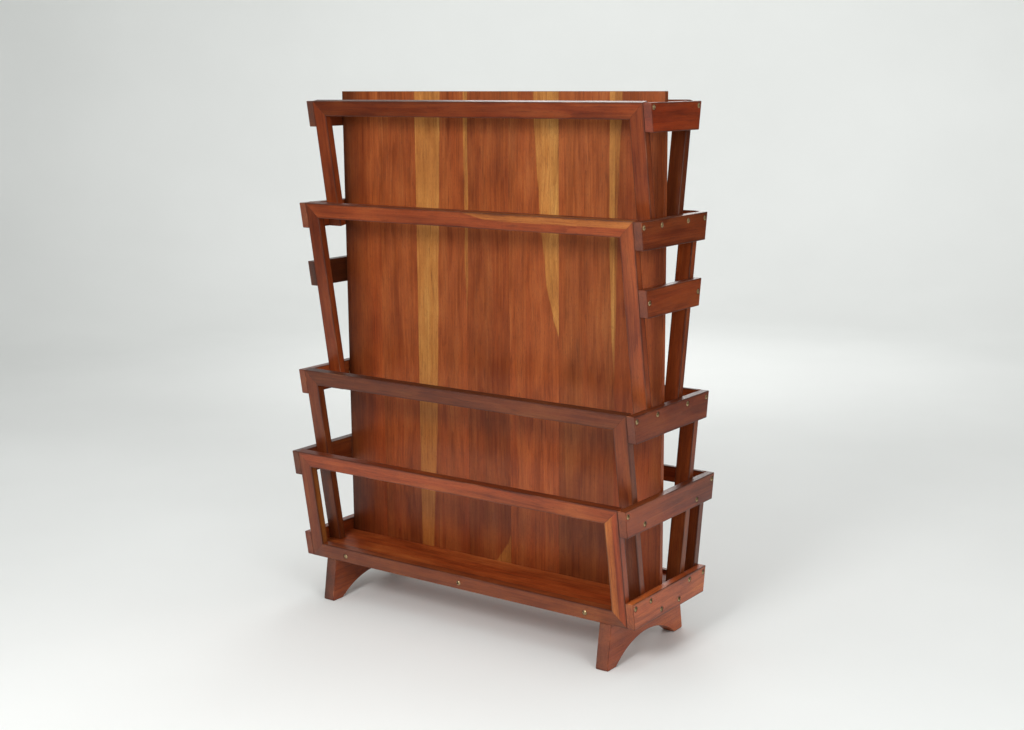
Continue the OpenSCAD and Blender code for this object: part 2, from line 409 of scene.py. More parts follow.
class Tree:
    """Short ways to add and link shader nodes."""

    def __init__(self, tree):
        self.tree = tree

    def node(self, kind, settings=(), inputs=()):
        made = self.tree.nodes.new(kind)
        for key, value in dict(settings).items():
            setattr(made, key, value)
        for key, value in dict(inputs).items():
            self.feed(made.inputs[key], value)
        return made

    def feed(self, socket, value):
        if isinstance(value, bpy.types.NodeSocket):
            self.tree.links.new(value, socket)
        else:
            socket.default_value = value

    def math(self, operation, *values, clamp=False):
        made = self.node("ShaderNodeMath", {"operation": operation, "use_clamp": clamp})
        for socket, value in zip(made.inputs, values):
            self.feed(socket, value)
        return made.outputs[0]

    def vector(self, operation, first, second=None, scale=None):
        made = self.node("ShaderNodeVectorMath", {"operation": operation})
        self.feed(made.inputs[0], first)
        if second is not None:
            self.feed(made.inputs[1], second)
        if scale is not None:
            self.feed(made.inputs["Scale"], scale)
        return made.outputs["Value" if operation == "LENGTH" else "Vector"]

    def noise(self, place, stretch, detail=2.0, roughness=0.5):
        """Noise whose features are stretch long along each axis of place."""
        scaled = self.vector("DIVIDE", place, stretch)
        made = self.node(
            "ShaderNodeTexNoise",
            inputs={"Vector": scaled, "Scale": 1.0, "Detail": detail, "Roughness": roughness},
        )
        return made.outputs["Fac"]

    def ramp_between(self, value, low, high):
        """A smooth step from 0 at low to 1 at high."""
        made = self.node(
            "ShaderNodeMapRange",
            {"interpolation_type": "SMOOTHSTEP"},
            {"Value": value, "From Min": low, "From Max": high, "To Min": 0.0, "To Max": 1.0},
        )
        return made.outputs["Result"]

    def colours(self, value, stops):
        """A colour ramp; stops are (place, colour)."""
        made = self.node("ShaderNodeValToRGB", inputs={"Fac": value})
        elements = made.color_ramp.elements
        while len(elements) < len(stops):
            elements.new(0.5)
        for element, (place, colour) in zip(elements, stops):
            element.position = place
            element.color = (*colour, 1)
        return made.outputs["Color"]

    def mix(self, amount, first, second, blend="MIX"):
        made = self.node("ShaderNodeMix", {"data_type": "RGBA", "blend_type": blend})
        self.feed(made.inputs["Factor"], amount)
        for socket, value in ((made.inputs[6], first), (made.inputs[7], second)):
            self.feed(socket, value if isinstance(value, bpy.types.NodeSocket) else (*value, 1))
        return made.outputs[2]

    def around(self, value, amount):
        """amount times how far a noise value is from its middle."""
        return self.math("MULTIPLY_ADD", value, amount, -amount / 2)

    def total(self, first, *others):
        for other in others:
            first = self.math("ADD", first, other)
        return first


def new_material(name):
    material = bpy.data.materials.new(name)
    material.use_nodes = True
    tree = material.node_tree
    tree.nodes.clear()
    made = Tree(tree)
    shader = made.node("ShaderNodeBsdfPrincipled")
    output = made.node("ShaderNodeOutputMaterial")
    tree.links.new(shader.outputs["BSDF"], output.inputs["Surface"])
    return material, made, shader


# ----------------------------------------------------------------------- lumber

HEART_DARK = (0.100, 0.0150, 0.0030)
HEART_DEEP = (0.185, 0.0300, 0.0060)
HEART_MID = (0.290, 0.0560, 0.0120)
HEART_LIGHT = (0.420, 0.1100, 0.0260)
SAP_DARK = (0.230, 0.0550, 0.0100)
SAP_MID = (0.390, 0.1200, 0.0240)
SAP_LIGHT = (0.540, 0.2050, 0.0470)
RUBBED = (0.460, 0.200, 0.1000)
PORE = (0.060, 0.014, 0.0060)
END_GRAIN = (0.140, 0.125, 0.110)

RING_WIDTH_MM = 3.6
HALF_THICKNESS_MM = 6.25


def lumber_group():
    """Solid wood in millimetres along, across and through a piece.

    Grain is measured from the heart of the tree, so growth rings, fibres and pores run
    on from face to face. Tone_and_shade is (lightness, warmth, end grain); its lightness
    holds painted light and shade as well as the wood's tone. Sapwood holds two
    distances past the sapwood's edge. Section is a point's place in the piece's cross
    section, across and through, and half its width. Wear_and_shade is 1 along the
    arrises and in the screw hollows: mottled spots there are rubbed pale, the rest
    gets painted shade. Figure is how strongly the grain shows.
    """
    group = bpy.data.node_groups.new("lumber", "ShaderNodeTree")
    face = group.interface
    for name, kind in (
        ("Grain", "NodeSocketVector"),
        ("Tone_and_shade", "NodeSocketVector"),
        ("Sapwood", "NodeSocketVector"),
        ("Section", "NodeSocketVector"),
        ("Wear_and_shade", "NodeSocketFloat"),
        ("Figure", "NodeSocketFloat"),
    ):
        face.new_socket(name, in_out="INPUT", socket_type=kind)
    for name, kind in (
        ("Color", "NodeSocketColor"),
        ("Roughness", "NodeSocketFloat"),
        ("Normal", "NodeSocketVector"),
    ):
        face.new_socket(name, in_out="OUTPUT", socket_type=kind)
    t = Tree(group)
    given = t.node("NodeGroupInput")
    grain = t.vector("SCALE", given.outputs["Grain"], scale=1000.0)

    # Growth rings: distance from the heart, bent along the piece.
    bend = t.node(
        "ShaderNodeTexNoise",
        inputs={
            "Vector": t.vector("DIVIDE", grain, (230.0, 60.0, 60.0)),
            "Scale": 1.0,
            "Detail": 2.0,
        },
    ).outputs["Color"]
    bend = t.vector("MULTIPLY", t.vector("SUBTRACT", bend, (0.5, 0.5, 0.5)), (0.0, 15.0, 15.0))
    bent = t.vector("ADD", grain, bend)
    radius = t.vector("LENGTH", t.vector("MULTIPLY", bent, (0.0, 1.0, 1.0)))
    uneven = t.noise(bent, (900.0, 11.0, 11.0), detail=1.0)
    ring = t.math("ADD", t.math("DIVIDE", radius, RING_WIDTH_MM), t.around(uneven, 2.4))
    latewood = t.math("POWER", t.math("FRACT", ring), 2.6)

    streaks = t.noise(bent, (330.0, 7.0, 7.0), detail=4.0, roughness=0.6)
    fibres = t.noise(grain, (42.0, 0.7, 0.7), detail=3.0, roughness=0.6)
    mottle = t.noise(grain, (70.0, 26.0, 26.0), detail=3.0)
    pores = t.ramp_between(t.noise(grain, (6.0, 0.34, 0.34), detail=1.0), 0.57, 0.70)
    flecks = t.ramp_between(t.noise(bent, (40.0, 1.8, 1.8), detail=2.0), 0.60, 0.74)
    lines = t.noise(bent, (150.0, 2.4, 2.4), detail=2.0)
    tint = t.noise(bent, (400.0, 17.0, 17.0), detail=2.0)
    clouds = t.noise(grain, (210.0, 60.0, 60.0), detail=1.0)
    patches = t.noise(bent, (130.0, 40.0, 40.0), detail=3.0, roughness=0.6)

    figure = t.math("MULTIPLY", latewood, t.math("MULTIPLY_ADD", clouds, -0.42, 0.06))
    shade = t.total(
        t.around(streaks, 0.55),
        t.around(mottle, 0.75),
        t.around(patches, 0.9),
        t.around(lines, 0.5),
        t.around(fibres, 0.6),
        figure,
    )
    shade = t.math("MULTIPLY_ADD", shade, given.outputs["Figure"], 0.5)
    heart = t.colours(
        shade,
        [(0.08, HEART_DARK), (0.32, HEART_DEEP), (0.52, HEART_MID), (0.86, HEART_LIGHT)],
    )
    sap = t.colours(shade, [(0.22, SAP_DARK), (0.49, SAP_MID), (0.76, SAP_LIGHT)])

    # Sapwood: where either distance past its edge, made uneven by the grain, is positive.
    distances = t.node("ShaderNodeSeparateXYZ", inputs={0: given.outputs["Sapwood"]})
    ragged = t.total(t.around(streaks, 9.0), t.around(fibres, 1.6))
    edges = [
        t.ramp_between(
            t.math("ADD", t.math("MULTIPLY", distances.outputs[i], 1000.0), ragged), -0.8, 1.4
        )
        for i in (0, 1)
    ]
    colour = t.mix(t.math("MAXIMUM", *edges), heart, sap)

    dark_lines = t.math("MAXIMUM", t.math("MULTIPLY", pores, 0.52), t.math("MULTIPLY", flecks, 0.5))
    colour = t.mix(dark_lines, colour, PORE)

    tone_and_shade = t.node("ShaderNodeSeparateXYZ", inputs={0: given.outputs["Tone_and_shade"]})
    warmth = t.total(tone_and_shade.outputs[1], t.around(tint, 0.9))
    warm = t.node(
        "ShaderNodeCombineColor",
        inputs={
            "Red": 1.0,
            "Green": t.math("MULTIPLY_ADD", warmth, 0.6, 1.0),
            "Blue": t.math("MULTIPLY_ADD", warmth, 0.9, 1.0),
        },
    ).outputs["Color"]
    colour = t.mix(1.0, colour, warm, "MULTIPLY")
    # Lightness holds painted light and shade along with the wood's own tone.
    light = t.math("MULTIPLY", tone_and_shade.outputs[0], t.math("MULTIPLY_ADD", tone_and_shade.outputs[2], -0.28, 1.0))
    colour = t.vector("SCALE", colour, scale=light)
    colour = t.mix(t.math("MULTIPLY", tone_and_shade.outputs[2], 0.16), colour, END_GRAIN)

    # The sticks and end rails darken in a narrow band along their long edges.
    section = t.vector("SCALE", given.outputs["Section"], scale=1000.0)
    section = t.node("ShaderNodeSeparateXYZ", inputs={0: t.vector("ABSOLUTE", section)})
    inward = t.total(
        t.math("SUBTRACT", section.outputs[2], section.outputs[0]),
        t.math("SUBTRACT", HALF_THICKNESS_MM, section.outputs[1]),
        t.around(mottle, 3.6),
    )
    long_edge_band = t.math("SUBTRACT", 1.0, t.ramp_between(inward, -0.2, 3.6))
    colour = t.mix(t.math("MULTIPLY", long_edge_band, 0.7), colour, PORE)

    # On the arrises and in the screw hollows, mottled spots are rubbed pale and the rest gets painted
    # shade.
    rub = t.math("MULTIPLY", given.outputs["Wear_and_shade"], t.ramp_between(mottle, 0.52, 0.72))
    painted_arris_shade = t.math("SUBTRACT", given.outputs["Wear_and_shade"], rub)
    colour = t.mix(t.math("MULTIPLY", painted_arris_shade, 0.8), colour, PORE)
    colour = t.mix(t.math("MULTIPLY", rub, 0.3), colour, RUBBED)

    rough = t.total(
        0.36,
        t.around(t.noise(grain, (60.0, 14.0, 14.0), detail=4.0), 0.22),
        t.math("MULTIPLY", pores, 0.12),
        t.math("MULTIPLY", given.outputs["Wear_and_shade"], 0.08),
        t.math("MULTIPLY", tone_and_shade.outputs[2], 0.1),
    )
    wave = t.noise(grain, (80.0, 18.0, 18.0), detail=1.0)
    height = t.total(
        t.math("MULTIPLY", fibres, 0.02),
        t.math("MULTIPLY", pores, -0.03),
        t.math("MULTIPLY", latewood, 0.006),
        t.math("MULTIPLY", wave, 0.11),
    )
    bump = t.node("ShaderNodeBump", inputs={"Height": height, "Distance": MM, "Strength": 1.0})

    result = t.node("NodeGroupOutput")
    t.feed(result.inputs["Color"], colour)
    t.feed(result.inputs["Roughness"], rough)
    t.feed(result.inputs["Normal"], bump.outputs["Normal"])
    return group


LUMBER = lumber_group()


def lumber_material(name, coat, specular, figure):
    """Lacquered wood: how full and bright its lacquer looks, how strong its grain."""
    material, t, shader = new_material(name)
    wood = t.node("ShaderNodeGroup", {"node_tree": LUMBER})
    for socket, attribute, output in (
        ("Grain", "grain", "Vector"),
        ("Tone_and_shade", "tone_and_shade", "Vector"),
        ("Sapwood", "sapwood", "Vector"),
        ("Section", "section", "Vector"),
        ("Wear_and_shade", "worn", "Fac"),
    ):
        made = t.node("ShaderNodeAttribute", {"attribute_name": attribute})
        t.feed(wood.inputs[socket], made.outputs[output])
    t.feed(wood.inputs["Figure"], figure)
    t.feed(shader.inputs["Base Color"], wood.outputs["Color"])
    t.feed(shader.inputs["Roughness"], wood.outputs["Roughness"])
    t.feed(shader.inputs["Normal"], wood.outputs["Normal"])
    shader.inputs["IOR"].default_value = 1.45
    shader.inputs["Specular IOR Level"].default_value = specular
    shader.inputs["Coat Weight"].default_value = coat
    shader.inputs["Coat Roughness"].default_value = 0.22
    return material


WOOD = {
    "panel": lumber_material("panel_wood", 0.03, 0.35, 0.55),
    "frame": lumber_material("frame_wood", 0.08, 0.4, 0.65),
    "end_rail": lumber_material("end_rail_wood", 0.06, 0.36, 0.65),
    "shelf": lumber_material("shelf_wood", 0.0, 0.15, 0.9),
    "foot": lumber_material("foot_wood", 0.03, 0.4, 0.65),
}


# ---------------------------------------------------- what each piece looks like

# Pieces that look different from the rest: lightness at the left, front or lower end,
# lightness at the other end, and warmth. Beside the wood's own tone these hold painted
# light and shade: the back stiles and the left middle end rail are darkened as shaded,
# the bottom right end rail is lightened as lit, rail 1 darkens towards its left end
# and the panel boards towards the shelf.
PIECE_TONE_AND_SHADE = {
    "front_rail_1": (0.36, 0.74, -0.12),
    "front_rail_2": (0.88, 0.98, -0.1),
    "front_rail_3": (0.41, 0.56, 0.12),
    "front_rail_4": (1.10, 0.92, -0.05),
    "front_bottom_rail": (0.60, 0.64, 0.2),
    "front_stile_left_1": (0.76, 0.74, -0.2),
    "front_stile_left_2": (0.76, 0.46, -0.1),
    "front_stile_left_3": (0.45, 0.65, 0.1),
    "front_stile_left_4": (0.62, 0.7, 0.1),
    "front_stile_right_1": (0.72, 0.6, 0.05),
    "front_stile_right_2": (0.80, 0.78, 0.05),
    "front_stile_right_3": (0.75, 0.65, 0.0),
    "front_stile_right_4": (1.05, 1.1, -0.1),
    "back_stile_right_1": (0.45, 0.55, 0.1),
    "back_stile_right_2": (0.8, 1.3, 0.1),
    "back_stile_right_3": (0.6, 1.0, 0.2),
    "back_stile_right_4": (0.5, 0.8, 0.2),
    "end_rail_right_1": (1.10, 0.94, -0.5),
    "end_rail_right_2": (0.76, 0.66, -0.05),
    "end_rail_right_middle": (0.94, 0.92, -0.1),
    "end_rail_right_3": (0.68, 0.72, -0.25),
    "end_rail_right_4": (1.05, 0.70, -0.15),
    "end_rail_right_bottom": (1.65, 1.45, 0.12),
    "end_rail_left_1": (0.6, 0.6, 0.1),
    "end_rail_left_middle": (0.22, 0.22, 0.1),
    "end_rail_left_4": (0.6, 0.55, 0.0),
    "bottom_shelf": (0.92, 1.12, 0.0),
    "foot_board_left": (0.72, 0.75, 0.05),
    "foot_board_right": (1.0, 1.2, 0.05),
    "panel_board_1": (0.95, 1.2, -0.1),
    "panel_board_2": (0.92, 1.1, 0.05),
    "panel_board_3": (0.95, 1.15, 0.1),
    "panel_board_4": (0.80, 1.0, 0.05),
    "panel_board_5": (1.1, 1.1, 0.05),
    "panel_board_6": (0.75, 1.2, 0.2),
    "panel_board_7": (0.92, 0.85, -0.15),
}
# Lightness at the left and right edges of a piece that darkens from side to side: painted
# light and shade, such as the stiles' shadow on the panel's left end.
EDGE_TONE_AND_SHADE = {
    "panel_board_1": (0.3, 1.0),
    "panel_board_7": (0.95, 1.3),
    "end_rail_left_middle": (2.4, 1.0),
    "front_stile_right_1": (0.95, 1.25),
    "foot_board_left": (0.55, 1.15),
    "foot_board_right": (0.85, 1.25),
    "front_stile_right_2": (0.95, 1.25),
}
# Painted shade on the top faces of the upper rails and on the panel just above the
# shelf: lightness at heights in millimetres.
SHADED_TOPS = {n for n in NODES if "_rail_" in n and "bottom" not in n}
TOP_SHADE = 0.5
PANEL_FOOT_SHADE = ((84, 0.72), (120, 0.86), (200, 1.0))
# The panel pales towards its top.
PANEL_TOP_WARMTH = 0.38
# Half the width given to boards whose long edges aren't darkened.
UNEDGED = 1.0
TONE_SPREAD = 0.06
WARMTH_SPREAD = 0.08

# The panel's pale sapwood: for each board, the distance in from its left and right
# edges, in millimetres, as (height on the rack, width of the stripe) pairs.
PANEL_SAPWOOD = {
    3: {"left": [(84, 23), (186, 31), (776, 48)], "right": [(84, -9), (380, -4), (520, 3.4), (776, 4.6)]},
    4: {"left": [(84, -9), (380, -4), (520, 3.2), (776, 4.4)], "right": [(84, 26), (132, -6), (776, -80)]},
    5: {"right": [(84, -60), (380, -15), (500, 20), (640, 36), (776, 43)]},
    6: {"right": [(84, -60), (330, -3), (430, 3), (535, 8), (640, 9.5), (776, 8.5)]},
    7: {"left": [(84, -60), (330, -4), (430, 2), (535, 5), (640, 6), (776, 12)]},
}
NO_SAPWOOD = -1.0


def panel_sapwood(number, start, end):
    """How far past each sapwood edge of a panel board a point lies."""
    stripes = PANEL_SAPWOOD.get(number, {})

    def distances(point):
        found = []
        for side, inward in (("left", point.x - start), ("right", end - point.x)):
            if side in stripes:
                heights, widths = zip(*stripes[side])
                found.append(float(np.interp(point.z / MM, heights, widths)) * MM - inward)
            else:
                found.append(NO_SAPWOOD)
        return found

    return distances


def rail_sapwood(point):
    """Tier 2's front rail: sapwood along the upper, outer part of its right half."""
    above = point.z - 598 * MM
    inward = point.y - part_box("front_rail_2")[0].y
    return [min(above - 2.5 * inward, point.x * 0.35 - 5 * MM), NO_SAPWOOD]


def stile_sapwood(point):
    """Tier 4's right front stile: sapwood along its inner edge."""
    return [275 * MM - point.x, NO_SAPWOOD]


def inner_face_sapwood(point):
    """Tier 4's left front stile: sapwood all over its inner face."""
    return [point.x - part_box("front_stile_left_4")[1].x + 1.5 * MM, NO_SAPWOOD]


def heartwood_only(point):
    return [NO_SAPWOOD, NO_SAPWOOD]


def write_attributes(mesh, name, axes, planes, sapwood):
    """Stores on its vertices a piece's grain, tone with painted light and shade, sapwood and worn arrises.
    """
    rng = random.Random(name)
    along, across, through = axes
    points = [v.co.copy() for v in mesh.vertices]
    middle = sum(points, Vector()) / len(points)
    heart = Vector((rng.uniform(-3, 3), rng.uniform(-14, 14) * MM, rng.uniform(32, 70) * MM))
    # Tone per piece, with painted light and shade in it.
    low_end, high_end, warmth = PIECE_TONE_AND_SHADE.get(name, (1.0, 1.0, 0.0))
    left_edge, right_edge = EDGE_TONE_AND_SHADE.get(name, (1.0, 1.0))
    spread = 1 + rng.uniform(-TONE_SPREAD, TONE_SPREAD)
    warmth += rng.uniform(-WARMTH_SPREAD, WARMTH_SPREAD)
    lowest = Vector([min(p[i] for p in points) for i in range(3)])
    extent = Vector([max(p[i] for p in points) for i in range(3)]) - lowest
    long_side = max(range(3), key=lambda i: extent[i])
    ends = [p for p in planes if abs(p[0].dot(along)) > 0.97]
    tops = [p for p in planes if p[0].z > 0.9] if name in SHADED_TOPS else []
    spans = [
        (min(p.dot(axis) for p in points), max(p.dot(axis) for p in points))
        for axis in (across, through)
    ]
    centre = [(low + high) / 2 for low, high in spans]
    edged = "stile" in name or "_rail" in name
    half_width = (spans[0][1] - spans[0][0]) / 2 if edged else UNEDGED
    grain, tone_and_shade, sap, section, worn = [], [], [], [], []
    for point in points:
        offset = point - middle
        grain += [
            offset.dot(along) + heart.x,
            offset.dot(across) + heart.y,
            offset.dot(through) + heart.z,
        ]
        on_end = any(abs(n.dot(point) - d) < TOUCH for n, d in ends)
        run = (point[long_side] - lowest[long_side]) / extent[long_side]
        lightness = spread * (low_end + (high_end - low_end) * run)
        # Painted light and shade from side to side.
        sideways = (point.x - lowest.x) / extent.x
        lightness *= left_edge + (right_edge - left_edge) * sideways
        # Painted shade on the top faces of the upper rails.
        if any(abs(n.dot(point) - d) < TOUCH for n, d in tops):
            lightness *= TOP_SHADE
        past_edges = sapwood(point)
        paler = 0
        if name.startswith("panel_board"):
            paler = PANEL_TOP_WARMTH * run
            if max(past_edges) < 0:
                # Painted shade on the panel just above the shelf.
                lightness *= float(np.interp(point.z / MM, *zip(*PANEL_FOOT_SHADE)))
        tone_and_shade += [lightness, warmth + paler, float(on_end)]
        sap += [*past_edges, 0]
        section += [point.dot(across) - centre[0], point.dot(through) - centre[1], half_width]
        # Arrises and screw hollows: some rubbed pale, the rest painted shade.
        on_face = any(abs(n.dot(point) - d) < TOUCH for n, d in planes)
        worn.append(0.0 if on_face else 1.0)
    vectors = {"grain": grain, "tone_and_shade": tone_and_shade, "sapwood": sap, "section": section}
    for key, values in vectors.items():
        mesh.attributes.new(key, "FLOAT_VECTOR", "POINT").data.foreach_set("vector", values)
    mesh.attributes.new("worn", "FLOAT", "POINT").data.foreach_set("value", worn)


def lumber_piece(node, slot, width_of, bm=None, heads=(), sapwood=heartwood_only):
    """One stick or board: rounded arrises, screw hollows, and its wood."""
    bm = bm or hull_bmesh(node)
    axes = lumber_axes(bm)
    planes = planes_of(bm)
    slice_across(bm, axes[0], ARRIS_STEP)
    mesh = round_edges(bm, lambda edge, middle: width_of(edge, middle, axes[0]))
    if heads:
        bm = bmesh.new()
        bm.from_mesh(mesh)
        sink_hollows(bm, heads, axes[0])
        bm.to_mesh(mesh)
        bm.free()
    write_attributes(mesh, node, axes, planes, sapwood)
    obj = add_piece(node + "_wood", mesh, WOOD[slot], node)
    smooth_with_flat_faces(obj)
    return obj


def runs_along(edge, along):
    span = (edge.verts[1].co - edge.verts[0].co).normalized()
    return abs(span.dot(along)) > 0.9


def stick_width(edge, middle, along):
    """Frame sticks: rounded along their length, close at their joints."""
    return ARRIS if runs_along(edge, along) else JOINT_EDGE


def bottom_rail_width(edge, middle, along):
    """Bottom rails: crisper where they are planed level underneath, and nearly sharp
    along their mitres, which are thin at the tips."""
    from_tip = SHELF_END - abs(middle.x)
    if from_tip < TOUCH:
        return 0
    if not runs_along(edge, along):
        return GLUE_EDGE
    if middle.z < RACK_UNDERSIDE + MM:
        return GLUE_EDGE if from_tip < ARRIS_STEP else FINE_ARRIS
    return ARRIS


def end_rail_width(edge, middle, along):
    return ARRIS


def foot_width(edge, middle, along):
    return ARRIS


def shelf_width(edge, middle, along):
    return JOINT_EDGE


RACK_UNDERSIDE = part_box("bottom_shelf")[0].z
SHELF_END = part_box("bottom_shelf")[1].x
PANEL_LOW, PANEL_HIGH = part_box("panel_board_1")[0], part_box("panel_board_7")[1]


def panel_width(edge, middle, along):
    """Panel boards: flush glue lines, softened top and outer edges."""
    at_end = min(middle.x - PANEL_LOW.x, PANEL_HIGH.x - middle.x) < MM
    at_top = PANEL_HIGH.z - middle.z < MM
    return FINE_ARRIS if at_end or at_top else GLUE_EDGE


def build_panel():
    for number in range(1, 8):
        node = f"panel_board_{number}"
        low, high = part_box(node)
        lumber_piece(
            node, "panel", panel_width, sapwood=panel_sapwood(number, low.x, high.x)
        )


def build_frames():
    sapwood = {
        "front_rail_2": rail_sapwood,
        "front_stile_right_4": stile_sapwood,
        "front_stile_left_4": inner_face_sapwood,
    }
    for way in ("front", "back"):
        names = [f"{way}_rail_{tier}" for tier in range(1, 5)]
        names += [
            f"{way}_stile_{side}_{tier}" for side in ("left", "right") for tier in range(1, 5)
        ]
        for node in names:
            lumber_piece(
                node, "frame", stick_width, sapwood=sapwood.get(node, heartwood_only)
            )
        lumber_piece(
            f"{way}_bottom_rail", "frame", bottom_rail_width, heads=RAIL_HEADS[way]
        )


def build_ends():
    for side in ("left", "right"):
        for level in ("1", "2", "middle", "3", "4", "bottom"):
            node = f"end_rail_{side}_{level}"
            heads = heads_on(node, END_HEADS[side])
            lumber_piece(node, "end_rail", end_rail_width, heads=heads)


def build_base():
    lumber_piece("bottom_shelf", "shelf", shelf_width)
    for side in ("left", "right"):
        node = f"foot_board_{side}"
        lumber_piece(node, "foot", foot_width, bm=outline_bmesh(node))


# ----------------------------------------------------------------------- screws

RECESS_LENGTH = 4.0 * MM
RECESS_WIDTH = 0.85 * MM
RECESS_FLOOR = 0.15 * MM
SHANK_RADIUS = 1.75 * MM
CONE = 1.8 * MM
TIP = 4.0 * MM


def dome_height(radius):
    """Height of the screw's domed head above its base, at a distance from its axis."""
    sphere = (HEAD_RADIUS**2 + HEAD_DOME**2) / (2 * HEAD_DOME)
    return HEAD_DOME - sphere + math.sqrt(sphere**2 - radius**2)


def cross_outline(length, width, height):
    """The twelve corners of a cross recess, each at the height given for its distance."""
    long, short = length / 2, width / 2
    quarter = [(long, -short), (long, short), (short, short)]
    corners = []
    for turn in range(4):
        for x, y in quarter:
            for _ in range(turn):
                x, y = -y, x
            corners.append(Vector((x, y, height(math.hypot(x, y)))))
    return corners


def screw_bmesh():
    """A domed wood screw with a cross recess, head up, its head's base at the origin."""
    bm = bmesh.new()
    up = Vector((0, 0, 1))
    axes = (Vector((1, 0, 0)), Vector((0, 1, 0)))

    def ring(radius, z):
        return [bm.verts.new(p) for p in circle(up * z, axes, radius, SCREW_STEPS)]

    dome = [ring(r * MM, dome_height(r * MM)) for r in (2.35, 2.75, 3.05, 3.25)]
    rim = [
        ring(HEAD_RADIUS - 0.03 * MM, 0.16 * MM),
        ring(HEAD_RADIUS, 0.0),
        ring(HEAD_RADIUS - 0.12 * MM, -0.1 * MM),
    ]
    shank = [
        ring(SHANK_RADIUS, -CONE),
        ring(SHANK_RADIUS, TIP - SCREW_LENGTH),
    ]
    rings = dome + rim + shank
    for upper, lower in zip(rings, rings[1:]):
        join_rings(bm, upper, lower)
    point = bm.verts.new((0, 0, -SCREW_LENGTH))
    for a, b in zip(shank[-1], shank[-1][1:] + shank[-1][:1]):
        bm.faces.new((a, b, point))
    mouth = [bm.verts.new(p) for p in cross_outline(RECESS_LENGTH, RECESS_WIDTH, dome_height)]
    floor = [
        bm.verts.new(p)
        for p in cross_outline(
            RECESS_LENGTH * 0.55, RECESS_WIDTH * 0.7, lambda radius: RECESS_FLOOR
        )
    ]
    fill_between(bm, dome[0], [mouth], axes, up)
    join_rings(bm, mouth, floor)
    bm.faces.new(floor)
    bmesh.ops.recalc_face_normals(bm, faces=bm.faces)
    return bm


def screw_set(node, heads, material):
    """All the screws of one CAD node, each turned its own way."""
    rng = random.Random(node)
    one = bpy.data.meshes.new("screw")
    single = screw_bmesh()
    single.to_mesh(one)
    single.free()
    bm = bmesh.new()
    for head in heads:
        first = len(bm.verts)
        bm.from_mesh(one)
        bm.verts.ensure_lookup_table()
        turn = head["axis"].to_track_quat("Z", "Y").to_matrix().to_4x4()
        spin = Matrix.Rotation(rng.uniform(0, math.pi), 4, "Z")
        base = Matrix.Translation(head["place"] - head["axis"] * SCREW_SINK)
        bmesh.ops.transform(bm, matrix=base @ turn @ spin, verts=bm.verts[first:])
    mesh = bpy.data.meshes.new(node)
    bm.to_mesh(mesh)
    bm.free()
    bpy.data.meshes.remove(one)
    mesh.set_sharp_from_angle(angle=math.radians(38))
    obj = add_piece(node + "_metal", mesh, material, node)
    obj.data.polygons.foreach_set("use_smooth", [True] * len(obj.data.polygons))
    return obj


BRASS = (0.66, 0.50, 0.27)
BRASS_DULL = (0.40, 0.28, 0.14)
BRASS_DARK = (0.14, 0.09, 0.05)


def brass_material():
    """Old brass: dull brown patina with brighter rubbed spots."""
    material, t, shader = new_material("old_brass")
    place = t.node("ShaderNodeTexCoord").outputs["Object"]
    place = t.vector("SCALE", place, scale=1000.0)
    patina = t.noise(place, (2.2, 2.2, 2.2), detail=4.0, roughness=0.6)
    specks = t.noise(place, (0.35, 0.35, 0.35), detail=2.0)
    mixed = t.total(patina, t.around(specks, 0.35))
    colour = t.colours(mixed, [(0.3, BRASS_DARK), (0.48, BRASS_DULL), (0.68, BRASS)])
    t.feed(shader.inputs["Base Color"], colour)
    t.feed(shader.inputs["Roughness"], t.total(0.34, t.around(patina, -0.3), t.around(specks, 0.2)))
    shader.inputs["Metallic"].default_value = 1.0
    height = t.math("MULTIPLY", specks, 0.03)
    bump = t.node("ShaderNodeBump", inputs={"Height": height, "Distance": MM, "Strength": 0.6})
    t.feed(shader.inputs["Normal"], bump.outputs["Normal"])
    return material


def dowel_material():
    """Pale turned dowel: fine fibres along its length."""
    material, t, shader = new_material("dowel_wood")
    place = t.node("ShaderNodeTexCoord").outputs["Object"]
    place = t.vector("SCALE", place, scale=1000.0)
    fibres = t.noise(place, (0.6, 0.6, 9.0), detail=4.0, roughness=0.6)
    colour = t.colours(fibres, [(0.3, (0.42, 0.24, 0.11)), (0.7, (0.62, 0.42, 0.23))])
    t.feed(shader.inputs["Base Color"], colour)
    t.feed(shader.inputs["Roughness"], t.total(0.6, t.around(fibres, 0.15)))
    bump = t.node(
        "ShaderNodeBump",
        inputs={"Height": t.math("MULTIPLY", fibres, 0.03), "Distance": MM, "Strength": 0.6},
    )
    t.feed(shader.inputs["Normal"], bump.outputs["Normal"])
    return material


def build_fasteners():
    brass = brass_material()
    dowel = dowel_material()
    for side, heads in END_HEADS.items():
        screw_set(f"end_screws_{side}", heads, brass)
    for way, heads in RAIL_HEADS.items():
        screw_set(f"shelf_screws_{way}", heads, brass)
    for node, material in (
        ("panel_screws", brass),
        ("panel_pins", dowel),
        ("foot_dowels", dowel),
    ):
        mesh = NODES[node].data
        mesh.materials.clear()
        mesh.materials.append(material)


# ----------------------------------------------------------------------- studio

FLOOR_RADIUS = 2.7
SWEEP_RADIUS = 1.3
WALL_TOP = 3.2
FLAG_OFFSET = 1.5
FLAG_REACH = 2.4
FLAG_HEIGHT = 1.0


def paper_white():
    """Matt white studio paper with a very faint unevenness."""
    material, t, shader = new_material("studio_paper")
    place = t.node("ShaderNodeTexCoord").outputs["Object"]
    uneven = t.noise(place, (0.6, 0.6, 0.6), detail=3.0)
    colour = t.colours(uneven, [(0.2, (0.83, 0.845, 0.83)), (0.8, (0.885, 0.90, 0.885))])
    t.feed(shader.inputs["Base Color"], colour)
    shader.inputs["Roughness"].default_value = 0.75
    shader.inputs["Specular IOR Level"].default_value = 0.0
    return material


